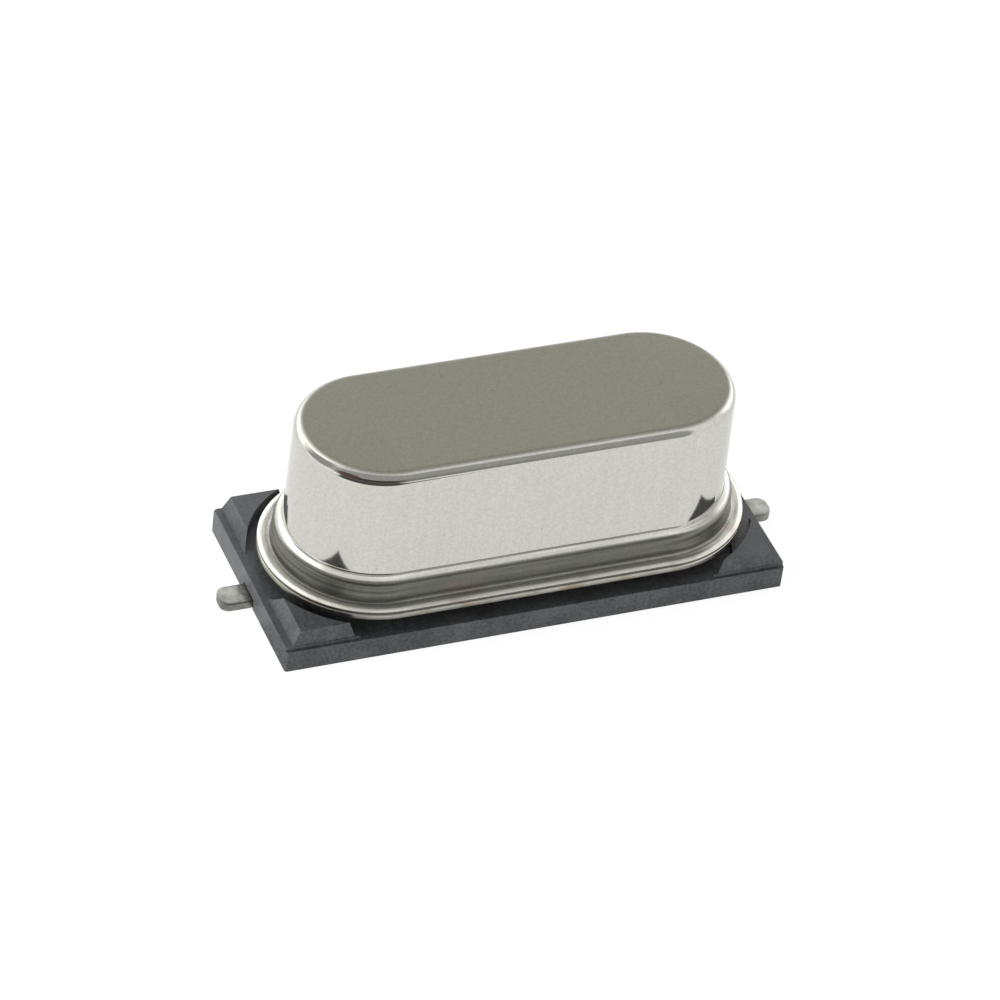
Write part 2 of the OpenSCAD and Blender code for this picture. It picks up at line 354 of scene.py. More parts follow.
def make_rim_lines():
    """Noise that is drawn out along the outline, so that it reads as die marks."""
    inputs = {"Place": "NodeSocketVector", "Lines per mm": "NodeSocketFloat"}
    tree, given, result = start_group("rim_lines", inputs, ["Lines"])
    parts = along_axes(tree, given.outputs["Place"])
    past = maths(tree, "SUBTRACT", maths(tree, "ABSOLUTE", parts["X"]), half_straight)
    past = maths(tree, "MAXIMUM", past, 0.0)
    aside = maths(tree, "ABSOLUTE", parts["Y"])
    out = maths(tree, "ADD", maths(tree, "POWER", past, 2.0), maths(tree, "POWER", aside, 2.0))
    out = maths(tree, "SQRT", out)
    slow = times(tree, maths(tree, "ADD", parts["X"], parts["Y"]), MARK_STRETCH)
    across = add(tree, "ShaderNodeCombineXYZ", {0: out, 1: parts["Z"], 2: slow}).outputs[0]
    noise = add(tree, "ShaderNodeTexNoise", {"Vector": across})
    noise.inputs["Detail"].default_value = 3
    tree.links.new(given.outputs["Lines per mm"], noise.inputs["Scale"])
    tree.links.new(noise.outputs["Fac"], result.inputs["Lines"])
    return tree


rim_lines = make_rim_lines()
print("group:", rim_lines.name)

# %% Shared effect: grain
NOISE_WIDE = (0.2, 0.8)
NOISE_MIDDLE = (0.3, 0.7)


def make_grain():
    """Fine even noise. Most of its values lie in the two ranges above."""
    inputs = {"Place": "NodeSocketVector", "Grains per mm": "NodeSocketFloat"}
    tree, given, result = start_group("grain", inputs, ["Grain"])
    noise = add(tree, "ShaderNodeTexNoise", {"Vector": given.outputs["Place"]})
    noise.inputs["Detail"].default_value = 3
    noise.inputs["Roughness"].default_value = 0.65
    tree.links.new(given.outputs["Grains per mm"], noise.inputs["Scale"])
    tree.links.new(noise.outputs["Fac"], result.inputs["Grain"])
    return tree


grain = make_grain()
print("group:", grain.name)


def grains(tree, place, per_mm):
    """The grain's value at a scale of so many grains per millimetre."""
    return use_group(tree, grain, {"Place": place, "Grains per mm": per_mm})["Grain"]


# %% Shared effect: specks
SPECK_CORE = 0.03
SPECK_EDGE = 0.1


def make_specks():
    """A few small spots: the cores of some of the cells of a Voronoi pattern."""
    inputs = {
        "Place": "NodeSocketVector",
        "Specks per mm": "NodeSocketFloat",
        "Share": "NodeSocketFloat",
    }
    tree, given, result = start_group("specks", inputs, ["Specks"])
    cells = add(tree, "ShaderNodeTexVoronoi", {"Vector": given.outputs["Place"]})
    tree.links.new(given.outputs["Specks per mm"], cells.inputs["Scale"])
    core = step(tree, cells.outputs["Distance"], SPECK_EDGE, SPECK_CORE)
    parts = add(tree, "ShaderNodeSeparateColor", {"Color": cells.outputs["Color"]})
    chosen = maths(tree, "LESS_THAN", parts.outputs[0], given.outputs["Share"])
    tree.links.new(times(tree, core, chosen), result.inputs["Specks"])
    return tree


specks = make_specks()
print("group:", specks.name)

# %% [markdown]
# ## The can
#
# The can is one sheet of nickel-plated metal that was drawn into a cup. Its wall
# leans in a little, steps out at a shoulder, and ends in a flared skirt and a
# flange. A block with beveled edges can't have the lean, the step and the flange
# at once, so the can is one profile that goes round the outline. Only the sizes
# that the frame doesn't give are written here, and the others follow from them.

# %% Sizes of the can
SHEET = 0.15
TOP_ROUND = 0.25
WALL_LEAN = 0.05
SKIRT_STEP = 0.19
SKIRT_FLARE = 0.04
ROOT_H = 0.69
SHOULDER_FALL = 0.1
SHOULDER_ROUND = 0.14
ROOT_ROUND = 0.08
FLANGE_LAND = 0.16
FLANGE_ROOT = 0.04
EDGE_W = 0.11
EDGE_FALL = 0.04
CAN_FLANGE_T = 0.1
CAN_RIM = 0.025

land_r = flange_r - EDGE_W
skirt_foot_r = land_r - FLANGE_LAND
skirt_r = skirt_foot_r - SKIRT_FLARE
can_r = skirt_r - SKIRT_STEP
top_r = can_r - WALL_LEAN
flange_top = joint_z + CAN_FLANGE_T
root_z = joint_z + ROOT_H
skirt_top = root_z - SHOULDER_FALL
print(f"radius: top {top_r:.3f}, wall {can_r:.3f}, skirt {skirt_r:.3f} to {skirt_foot_r:.3f}")
print(f"levels: flange {flange_top:.2f}, skirt {skirt_top:.2f}, root {root_z:.2f}")

# %% [markdown]
# ## The can's nickel
#
# One sheet has several finishes. The top is matte, where it was pressed, and the
# matte fades out over the rounded edge. The wall and the shoulder are bright,
# because the drawing die rubbed along them. The skirt and the flat ring below it
# were held in the welding tool and are dull, and the sloping rim is bright again.
# The top and the skirt are also painted darker than the wall, as painted shade.
#
# Each zone could have a material of its own, but then every border would be a
# hard line between faces. Here the height and the direction of the surface say
# which finish a point has, so the borders are soft and follow the shape.

# %% Where each finish of the can lies

# How far up the surface faces, from 0 on a wall to 1 on a flat top.
MATTE_UP = (0.8, 0.995)
UPRIGHT_UP = (0.88, 0.5)

# Distances in millimetres.
EDGE_BELOW = (0.008, 0.002)
DIE_FADE = 0.8


def can_zones(tree, place, facing):
    """A mask for each finish, from the height and the direction of the surface."""
    parts = along_axes(tree, place)
    height = parts["Z"]
    up = along_axes(tree, facing)["Z"]
    near_top = step(tree, height, can_top - TOP_ROUND, can_top - TOP_ROUND / 2)
    below_root = step(tree, height, root_z, skirt_top)
    above_edge = step(tree, height, flange_top - EDGE_BELOW[0], flange_top - EDGE_BELOW[1])
    below_skirt = step(tree, height, flange_top + 2 * FLANGE_ROOT, flange_top + FLANGE_ROOT)
    length = maths(tree, "ABSOLUTE", parts["X"])
    return {
        "top": times(tree, step(tree, up, *MATTE_UP), near_top),
        "skirt": times(tree, step(tree, up, *UPRIGHT_UP), below_root),
        "ring": times(tree, above_edge, below_skirt),
        "wall": step(tree, height, root_z, root_z + ROOT_ROUND),
        "rim": step(tree, height, root_z + ROOT_ROUND, root_z),
        "near weld": step(tree, height, root_z, joint_z),
        "ends": step(tree, length, half_straight - DIE_FADE, half_straight + DIE_FADE),
        "height": height,
    }


# %% [markdown]
# ## Colour and marks
#
# Bare metal has little colour of its own, so the bright zones only tint what they
# mirror. The matte top and the dull skirt are painted much darker than the wall:
# this is painted shade, for the dimmer light that they mirror. The weld's heat has
# left a faint straw to red tint near the joint. Marks are laid over the tint by
# making it a little darker or lighter, because lines of another colour would look
# like dirt. The die that pressed the rim has left marks that run round it, and
# they are stronger at the round ends.

# %% The can's colours
BRIGHT_COLOUR = (0.63, 0.626, 0.576, 1.0)
# The top's and the skirt's colours are painted shade: far darker than the wall's nickel.
TOP_TINT_AND_SHADE = (0.166, 0.158, 0.13, 1.0)
SKIRT_TINT_AND_SHADE = (0.185, 0.185, 0.163, 1.0)
RING_COLOUR = (0.4, 0.4, 0.36, 1.0)
HEAT_TINT = (0.3, 0.21, 0.17, 1.0)
HEAT_SHARE = 0.35
HEAT_PATCHES = (0.52, 0.68)


def can_colour(tree, place, zones):
    """Each zone's colour, with painted shade on the top and the skirt, and patches of heat tint near
    the weld.
    """
    warm = grains(tree, place, 0.8)
    heated = times(tree, step(tree, warm, *HEAT_PATCHES), zones["near weld"])
    colour = blend(tree, zones["skirt"], BRIGHT_COLOUR, SKIRT_TINT_AND_SHADE)
    colour = blend(tree, zones["ring"], colour, RING_COLOUR)
    colour = blend(tree, times(tree, heated, HEAT_SHARE), colour, HEAT_TINT)
    return blend(tree, zones["top"], colour, TOP_TINT_AND_SHADE)


# %% The can's marks
LINE_SHADE = (0.985, 1.015)
GRAIN_SHADE = (0.93, 1.07)
SPECK_SHADE = 0.8
MARK_LIMITS = (0.32, 0.68)
STRAIGHT_MARKS = (0.88, 1.08)
END_MARKS = (0.62, 1.3)


def can_shade(tree, place, zones, lines, fine):
    """How much drawing lines, grain, specks and die marks darken or lighten it."""
    dots = use_group(tree, specks, {"Place": place, "Specks per mm": 2.2, "Share": 0.2})["Specks"]
    rim = use_group(tree, rim_lines, {"Place": place, "Lines per mm": 13.0})["Lines"]
    shade = step(tree, lines, *NOISE_MIDDLE, *LINE_SHADE)
    shade = times(tree, shade, step(tree, fine, *NOISE_MIDDLE, *GRAIN_SHADE))
    shade = times(tree, shade, step(tree, dots, 0.0, 1.0, 1.0, SPECK_SHADE))
    darkest = step(tree, zones["ends"], 0.0, 1.0, STRAIGHT_MARKS[0], END_MARKS[0])
    lightest = step(tree, zones["ends"], 0.0, 1.0, STRAIGHT_MARKS[1], END_MARKS[1])
    die_marks = step(tree, rim, *MARK_LIMITS, darkest, lightest)
    return times(tree, shade, step(tree, zones["rim"], 0.0, 1.0, 1.0, die_marks))


# %% [markdown]
# ## Polish and ripple
#
# Roughness says how sharp a mirror image is, and relief says how straight it is.
# The wall is almost a mirror, with a slight upright ripple from the die, and the
# top's grain scatters the light. Modelled relief this fine would need millions of
# faces, so a Bump node tilts the normals instead.

# %% The can's roughness and relief
BRIGHT_ROUGH = 0.07
TOP_ROUGH = 0.42
SKIRT_ROUGH = 0.36
RING_ROUGH = 0.5
POLISH_END = (0.05, 0.01)
LINE_ROUGH = (0.85, 1.15)
GRAIN_RELIEF = (0.1, 0.35)


def can_rough(tree, zones, lines):
    """Polished walls, satin skirt and ring, matte top."""
    border = [skirt_top + rise for rise in POLISH_END]
    rough = step(tree, zones["height"], *border, BRIGHT_ROUGH, SKIRT_ROUGH)
    rough = step(tree, zones["ring"], 0.0, 1.0, rough, RING_ROUGH)
    rough = step(tree, zones["top"], 0.0, 1.0, rough, TOP_ROUGH)
    return times(tree, rough, step(tree, lines, *NOISE_WIDE, *LINE_ROUGH))


def can_relief(tree, zones, lines, fine):
    """Upright ripple on the wall, and grain that grows with the height."""
    drawn = times(tree, zones["wall"], step(tree, zones["top"], 0.0, 1.0, 1.0, 0.0))
    grainy = step(tree, zones["height"], flange_top, skirt_top, *GRAIN_RELIEF)
    return maths(tree, "ADD", times(tree, lines, drawn), times(tree, fine, grainy))


# %% Material: nickel sheet
CAN_BUMP = 0.045
NICKEL_RELIEF = 0.01


def make_can_nickel():
    """Matte top, bright wall, dull skirt and bright edge on one sheet, with painted shade on the top
    and the skirt.
    """
    material, tree, shader = start_material("can_nickel")
    place, facing = place_in_mm(tree)
    zones = can_zones(tree, place, facing)
    lines = use_group(tree, drawing_lines, {"Place": place, "Lines per mm": 9.0})["Lines"]
    fine = grains(tree, place, 16.0)
    shade = can_shade(tree, place, zones, lines, fine)
    colour = shaded(tree, can_colour(tree, place, zones), shade)
    tree.links.new(colour, shader.inputs["Base Color"])
    tree.links.new(can_rough(tree, zones, lines), shader.inputs["Roughness"])
    shader.inputs["Metallic"].default_value = 1.0
    relief = can_relief(tree, zones, lines, fine)
    roughen(tree, shader, relief, CAN_BUMP, NICKEL_RELIEF)
    return material


can_nickel = make_can_nickel()
print("material:", can_nickel.name, "with", len(can_nickel.node_tree.nodes), "nodes")

# %% [markdown]
# ## The can's shell
#
# The profile runs from the middle of the top down the outside, round the rim and
# back up the inside, so the shell is closed and has a real wall. A Solidify
# modifier would be shorter, but it would make the flange as thick as the wall,
# and the real flange is pressed thinner.

# %% The can
can_profile = [
    (0, can_top, 0),
    (top_r, can_top, TOP_ROUND),
    (can_r, root_z, ROOT_ROUND),
    (skirt_r, skirt_top, SHOULDER_ROUND),
    (skirt_foot_r, flange_top, FLANGE_ROOT),
    (land_r, flange_top, 0),
    (flange_r, flange_top - EDGE_FALL, CAN_RIM),
    (flange_r, joint_z, CAN_RIM),
    (skirt_foot_r - SHEET, joint_z, 0),
    (skirt_foot_r - SHEET, flange_top, 0),
    (skirt_r - SHEET, skirt_top - SHEET, 0),
    (can_r - SHEET, root_z - SHEET, 0),
    (top_r - SHEET, can_top - SHEET, TOP_ROUND - SHEET),
    (0, can_top - SHEET, 0),
]
bm = bmesh.new()
round_the_outline(bm, rounded_profile(bm, can_profile))
finish_piece(bm, "can_shell", ["can"], can_nickel)

# %% [markdown]
# ## The header
#
# The header is the stamped plate that closes the can. Only its rim shows, as the
# lower of two bright lines. Its nickel is duller than the can's wall, since no die
# has rubbed along it. The weld has left straw-coloured patches on it. They could
# be painted one by one, but a coarse grain places them just as well.

# %% Material: header nickel
HEADER_COLOUR = grey(0.66, 0.1)
WELD_TINT = (0.5, 0.4, 0.28, 1.0)
WELD_SHARE = 0.8
WELD_PATCHES = (0.45, 0.65)
HEADER_ROUGH = (0.3, 0.42)
HEADER_BUMP = 0.03


def make_header_nickel():
    """Duller nickel, with the straw tint that the weld leaves in places."""
    material, tree, shader = start_material("header_nickel")
    place, _ = place_in_mm(tree)
    fine = grains(tree, place, 12.0)
    heat = grains(tree, place, 0.9)
    heated = step(tree, heat, *WELD_PATCHES, 0.0, WELD_SHARE)
    tree.links.new(blend(tree, heated, HEADER_COLOUR, WELD_TINT), shader.inputs["Base Color"])
    tree.links.new(step(tree, fine, *NOISE_WIDE, *HEADER_ROUGH), shader.inputs["Roughness"])
    shader.inputs["Metallic"].default_value = 1.0
    roughen(tree, shader, fine, HEADER_BUMP, NICKEL_RELIEF)
    return material


header_nickel = make_header_nickel()
print("material:", header_nickel.name)

# %% [markdown]
# ## Cutting and joining
#
# Some pieces are easiest to make as a tool maker would, by joining blocks and
# cutting shapes out of them. A Boolean modifier does this on two helper objects,
# which are removed at once. Its exact solver copes with faces that lie on top of
# each other.

# %% Helpers: join and cut shapes


def new_object(bm, name):
    """A plain object of a bmesh, such as a Boolean's tool."""
    mesh = bpy.data.meshes.new(name)
    bm.to_mesh(mesh)
    bm.free()
    made = bpy.data.objects.new(name, mesh)
    bpy.context.scene.collection.objects.link(made)
    return made


def combine(bm, other, operation):
    """Returns a bmesh of the first shape after the Boolean, and frees both."""
    body = new_object(bm, "body")
    tool = new_object(other, "tool")
    boolean = body.modifiers.new("combine", "BOOLEAN")
    boolean.operation = operation
    boolean.object = tool
    boolean.solver = "EXACT"
    bpy.context.view_layer.update()
    result = bmesh.new()
    result.from_object(body, bpy.context.evaluated_depsgraph_get())
    for used in (body, tool):
        mesh = used.data
        bpy.data.objects.remove(used)
        bpy.data.meshes.remove(mesh)
    return result


def cylinder(radius, low_z, high_z, x=0.0, segments=96):
    """An upright cylinder."""
    bm = bmesh.new()
    bmesh.ops.create_cone(
        bm, cap_ends=True, segments=segments, radius1=radius, radius2=radius, depth=high_z - low_z
    )
    bmesh.ops.translate(bm, verts=bm.verts, vec=(x, 0, (low_z + high_z) / 2))
    return bm


# %% [markdown]
# ## The header plate
#
# A flange with a raised plateau is one more profile for the outline. The plateau
# and the two holes for the glass beads are hidden in the can, but they are made
# too, because the mesh stands for the whole piece. The holes are cut out last, as
# the press pierces them.

# %% The header plate
HEADER_FLANGE_T = 0.15
PLATEAU_GAP = 0.04
PLATEAU_ROUND = 0.08
HEADER_RIM = 0.04
CUT_PAST = 0.1

bead_low, bead_high = box_mm("glass_bead_right")
bead_r = bead_high.y
lead_x = (bead_low.x + bead_high.x) / 2
plateau_r = skirt_r - SHEET - PLATEAU_GAP
header_profile = [
    (0, header_high.z, 0),
    (plateau_r, header_high.z, PLATEAU_ROUND),
    (plateau_r, seat_z + HEADER_FLANGE_T, 0),
    (flange_r, seat_z + HEADER_FLANGE_T, HEADER_RIM),
    (flange_r, seat_z, HEADER_RIM),
    (0, seat_z, 0),
]
bm = bmesh.new()
round_the_outline(bm, rounded_profile(bm, header_profile))
for side in (-1, 1):
    hole = cylinder(bead_r, seat_z - CUT_PAST, header_high.z + CUT_PAST, side * lead_x)
    bm = combine(bm, hole, "DIFFERENCE")
finish_piece(bm, "header_plate", ["header"], header_nickel)

# %% [markdown]
# ## The moulded base
#
# The base is one moulding: a slab, four leaning corner blocks with a pocket
# between them that clears the flange, a low terrace at each end, a pad for the
# header, and two holes and grooves underneath for the leads. It is built as a
# mould maker would draw it, by adding blocks and cutting tools out of them. A
# last bevel softens every edge, since no moulded edge is truly sharp.

# %% Sizes of the base
SLAB_T = 0.53
CORNER_BREAK = 0.06
BLOCK_H = 0.43
SIDE_LEDGE = 0.06
END_LEDGE = 0.12
SIDE_LEAN = 0.08
END_LEAN = 0.21
POCKET_GAP = 0.21
PAD_INSET = 0.3
TERRACE_H = 0.08
TERRACE_L = 0.85
TERRACE_ROUND = 1.2
LEAD_GAP = 0.1
GROOVE_ROOF_GAP = 0.02
SLOT_GAP = 0.02
WIRE_D = 0.43
WIRE_BEND = 0.4
WIRE_RUN = 0.1
PRESS_LENGTH = 0.6
TAIL_T = 0.23

base_l = base_high.x - base_low.x
base_w = base_high.y - base_low.y
pocket_r = flange_r + POCKET_GAP
tail_w = lead_high.y - lead_low.y
groove_w = tail_w + 2 * LEAD_GAP
groove_end = lead_x + WIRE_BEND + WIRE_RUN + PRESS_LENGTH + LEAD_GAP
slot_w = tail_w + 2 * SLOT_GAP
hole_r = WIRE_D / 2 + LEAD_GAP
print(f"base {base_l:.2f} x {base_w:.2f}, pocket radius {pocket_r:.3f}, groove {groove_w:.2f} wide")

# %% Helpers: blocks


def block(length, width, low_z, high_z, x=0.0):
    """An upright block."""
    bm = bmesh.new()
    bmesh.ops.create_cube(bm, size=1.0)
    bmesh.ops.scale(bm, verts=bm.verts, vec=(length, width, high_z - low_z))
    bmesh.ops.translate(bm, verts=bm.verts, vec=(x, 0, (low_z + high_z) / 2))
    return bm


def upright_edges(bm):
    """The edges that stand upright."""
    return [e for e in bm.edges if abs(e.verts[0].co.z - e.verts[1].co.z) > e.calc_length() / 2]


def round_uprights(bm, radius, segments):
    """Rounds a block's upright edges."""
    bmesh.ops.bevel(
        bm,
        geom=upright_edges(bm),
        offset=radius,
        offset_type="OFFSET",
        affect="EDGES",
        segments=segments,
        profile=0.5,
        material=-1,
        clamp_overlap=False,
    )


def obround(radius, low_z, high_z):
    """A solid with the can's outline and that radius at its ends."""
    bm = bmesh.new()
    corners = [(0, high_z, 0), (radius, high_z, 0), (radius, low_z, 0), (0, low_z, 0)]
    round_the_outline(bm, rounded_profile(bm, corners))
    bmesh.ops.recalc_face_normals(bm, faces=bm.faces)
    return bm


# %% [markdown]
# ## The corner blocks
#
# Four blocks stand round the ends of the can's flange. They could be drawn one by
# one, but then each would need its own arc. Here they are one leaning block with
# its middle cut away by the can's outline, made a little larger, which leaves all
# four with the same arc. The block reaches a little into the slab, because solids
# that only touch don't join cleanly.

# %% Corner blocks with the pocket between them
SINK = 0.05


def corner_blocks():
    """One leaning block with the pocket cut out, which leaves its four corners."""
    length = base_l - 2 * END_LEDGE
    width = base_w - 2 * SIDE_LEDGE
    bm = block(length, width, SLAB_T, SLAB_T + BLOCK_H)
    top = [point for point in bm.verts if point.co.z > SLAB_T + BLOCK_H / 2]
    lean = (1 - 2 * END_LEAN / length, 1 - 2 * SIDE_LEAN / width, 1)
    bmesh.ops.scale(bm, verts=top, vec=lean)
    foot = [face for face in bm.faces if face.normal.z < -0.5]
    sunk = bmesh.ops.extrude_face_region(bm, geom=foot)["geom"]
    bmesh.ops.translate(bm, verts=only(sunk, bmesh.types.BMVert), vec=(0, 0, -SINK))
    bmesh.ops.delete(bm, geom=foot, context="FACES_ONLY")
    bmesh.ops.recalc_face_normals(bm, faces=bm.faces)
    return combine(bm, obround(pocket_r, SLAB_T - 2 * SINK, SLAB_T + 2 * BLOCK_H), "DIFFERENCE")


# %% [markdown]
# ## The terraces
#
# At each end the slab's top is one low step higher, and the step's inner edge
# turns in wide round corners. A plate with a round-cornered window leaves just
# these two strips, so one cut makes both.

# %% Terraces at the two ends
BREAK_STEPS = 4
WINDOW_STEPS = 32


def terraces():
    """A low plate with a round-cornered window, which leaves a strip at each end."""
    outer = block(base_l, base_w - 2 * SIDE_LEDGE, SLAB_T - SINK, SLAB_T + TERRACE_H)
    round_uprights(outer, CORNER_BREAK, BREAK_STEPS)
    window = block(base_l - 2 * TERRACE_L, base_w, SLAB_T - 2 * SINK, SLAB_T + 2 * TERRACE_H)
    round_uprights(window, TERRACE_ROUND, WINDOW_STEPS)
    return combine(outer, window, "DIFFERENCE")


# %% [markdown]
# ## The base's plastic
#
# The moulding compound is charcoal and full of mineral powder. The powder gives it
# a sandy grain, cloudy flow marks and a few pale specks. One plain colour would
# look like paper, so two scales of noise are mixed for the colour, and the finer
# one also drives the roughness and the relief.

# %% Material: moulded plastic
PLASTIC_DARK = (0.084, 0.089, 0.096, 1.0)
PLASTIC_LIGHT = (0.166, 0.173, 0.181, 1.0)
DUST_COLOUR = grey(0.3)
DUST_SHARE = 0.35
GRAIN_PART = 0.6
MOTTLE_LIMITS = (0.36, 0.64)
PLASTIC_ROUGH = (0.42, 0.62)
PLASTIC_BUMP = 0.5
PLASTIC_RELIEF = 0.02


def make_base_plastic():
    """Charcoal moulding with a fine sand-like grain and paler flow marks."""
    material, tree, shader = start_material("charcoal_moulding")
    place, _ = place_in_mm(tree)
    fine = grains(tree, place, 14.0)
    flow = grains(tree, place, 1.3)
    dust = use_group(tree, specks, {"Place": place, "Specks per mm": 2.6, "Share": 0.16})["Specks"]
    mottle = maths(tree, "ADD", times(tree, fine, GRAIN_PART), times(tree, flow, 1 - GRAIN_PART))
    colour = blend(tree, step(tree, mottle, *MOTTLE_LIMITS), PLASTIC_DARK, PLASTIC_LIGHT)
    colour = blend(tree, times(tree, dust, DUST_SHARE), colour, DUST_COLOUR)
    tree.links.new(colour, shader.inputs["Base Color"])
    tree.links.new(step(tree, fine, *NOISE_WIDE, *PLASTIC_ROUGH), shader.inputs["Roughness"])
    roughen(tree, shader, fine, PLASTIC_BUMP, PLASTIC_RELIEF)
    return material


charcoal_moulding = make_base_plastic()
print("material:", charcoal_moulding.name)

# %% [markdown]
# ## Putting the base together
#
# Blocks, terraces and pad are joined to the slab, and the wires' holes, grooves
# and slots are cut from below. Then the flat faces are cleaned of the lines that
# Booleans leave. The Bevel modifier is moved before the Weighted Normal modifier,
# so that the softened edges are shaded with the rest.

# %% The base
EDGE_SOFT = 0.022
EDGE_SEGMENTS = 3
EDGE_ANGLE = math.radians(25)
FLAT_ANGLE = math.radians(0.5)
HOLE_STEPS = 48


def cut_below(side, start, end, width, height):
    """A cutting tool for the underside, from one distance along X to another."""
    return block(end - start, width, -CUT_PAST, height, side * (start + end) / 2)


bm = block(base_l, base_w, 0, SLAB_T)
round_uprights(bm, CORNER_BREAK, BREAK_STEPS)
bm = combine(bm, corner_blocks(), "UNION")
bm = combine(bm, terraces(), "UNION")
bm = combine(bm, obround(can_r - PAD_INSET, SLAB_T - SINK, seat_z), "UNION")
for side in (-1, 1):
    groove = cut_below(side, lead_x - hole_r, groove_end, groove_w, WIRE_D + GROOVE_ROOF_GAP)
    bm = combine(bm, groove, "DIFFERENCE")
    slot = cut_below(side, groove_end - TINY, base_l / 2 + CUT_PAST, slot_w, TAIL_T + SLOT_GAP)
    bm = combine(bm, slot, "DIFFERENCE")
    relief = cut_below(side, lead_x, lead_x + WIRE_BEND, 2 * hole_r, WIRE_D / 2 + WIRE_BEND)
    bm = combine(bm, relief, "DIFFERENCE")
    hole = cylinder(hole_r, -CUT_PAST, seat_z + CUT_PAST, side * lead_x, HOLE_STEPS)
    bm = combine(bm, hole, "DIFFERENCE")
bmesh.ops.remove_doubles(bm, verts=bm.verts, dist=TINY)
bmesh.ops.dissolve_limit(bm, angle_limit=FLAT_ANGLE, verts=bm.verts, edges=bm.edges)
bmesh.ops.recalc_face_normals(bm, faces=bm.faces)
moulded_base = finish_piece(bm, "moulded_base", ["insulator_base"], charcoal_moulding)
soften = moulded_base.modifiers.new("soft_edges", "BEVEL")
soften.width = EDGE_SOFT * MM
soften.segments = EDGE_SEGMENTS
soften.limit_method = "ANGLE"
soften.angle_limit = EDGE_ANGLE
soften.miter_outer = "MITER_ARC"
moulded_base.modifiers.move(1, 0)

# %% [markdown]
# ## The leads
#
# Each lead is one round wire. It drops through its glass bead, turns a quarter
# turn under the header, and runs out along the board, where a tool presses it
# flat into a solder tail. The wire is drawn round first and then pressed by
# moving its points, as the real tool does: it gets thinner and wider together.
# The tin is satin and uneven from the dip, and it gets painted shade where it leaves the base.

# %% Material: tinned wire
TIN_COLOUR = grey(0.25, 0.08)
BASE_SHADE_COLOUR = (0.19, 0.185, 0.165, 1.0)
BASE_SHADE_REACH = 0.42
BASE_SHADE_SHARE = 0.55
POOL_SHADE = (0.72, 1.3)
TIN_ROUGH = (0.2, 0.42)
TIN_BUMP = 0.5
TIN_RELIEF = 0.04


def make_tin():
    """Satin tin, uneven from the dip, with painted shade where it meets the base."""
    material, tree, shader = start_material("satin_tin")
    place, _ = place_in_mm(tree)
    fine = grains(tree, place, 10.0)
    pool = grains(tree, place, 2.4)
    shade = step(tree, pool, *NOISE_MIDDLE, *POOL_SHADE)
    reach = maths(tree, "ABSOLUTE", along_axes(tree, place)["X"])
    # Painted shade: the tin is darkened towards the base, where the wire goes in.
    near_base = step(tree, reach, base_l / 2 + BASE_SHADE_REACH, base_l / 2, 0.0, BASE_SHADE_SHARE)
    tin = blend(tree, near_base, TIN_COLOUR, BASE_SHADE_COLOUR)
    tree.links.new(shaded(tree, tin, shade), shader.inputs["Base Color"])
    tree.links.new(step(tree, fine, *NOISE_WIDE, *TIN_ROUGH), shader.inputs["Roughness"])
    shader.inputs["Metallic"].default_value = 1.0
    roughen(tree, shader, pool, TIN_BUMP, TIN_RELIEF)
    return material


satin_tin = make_tin()
print("material:", satin_tin.name)

# %% [markdown]
# ## Pressing the wire
#
# The press moves each point of the round wire up, down and sideways, never along.
# A low power of a point's distance from the middle squares the section, the
# change is eased in over the length of the press's mouth, and the tip gets a
# round corner on each side. Scaling the tail would flatten it too, but it would
# leave an oval section and a crease.

# %% Helper: press a wire flat
TIP_ROUND = 0.2
SQUARENESS = 0.22  # 1 would keep the section round, 0 would make it a rectangle

tail_end = lead_high.x
wire_r = WIRE_D / 2
press_start = lead_x + WIRE_BEND + WIRE_RUN


def press_flat(point):
    """Moves one point of the round run as the pressing tool does."""
    share = min(max((point.x - press_start) / PRESS_LENGTH, 0), 1)
    share = share * share * (3 - 2 * share)  # a soft start and a soft end
    across = point.y / wire_r
    rise = (point.z - wire_r) / wire_r
    past_round = max(point.x - (tail_end - TIP_ROUND), 0)
    narrowing = TIP_ROUND - math.sqrt(max(TIP_ROUND**2 - past_round**2, 0))
    half_w = tail_w / 2 - narrowing
    wide = math.copysign(abs(across) ** SQUARENESS, across) * half_w
    thin = math.copysign(abs(rise) ** SQUARENESS, rise) * TAIL_T / 2
    middle = wire_r + (TAIL_T / 2 - wire_r) * share
    y = point.y + (wide - point.y) * share
    z = middle + (point.z - wire_r) * (1 - share) + thin * share
    return Vector((point.x, y, z))


# %% [markdown]
# ## Drawing the wire
#
# A circle is extruded down the post, spun through the bend and extruded along the
# board. A curve with a round section would make this run too, but not the pressed
# end. Here the run is cut into short stretches, which give the press enough points
# to move. The left lead is the right one turned round.

# %% The leads
WIRE_SIDES = 48
BEND_STEPS = 16
PRESS_STEPS = 16
TIP_STEPS = 12


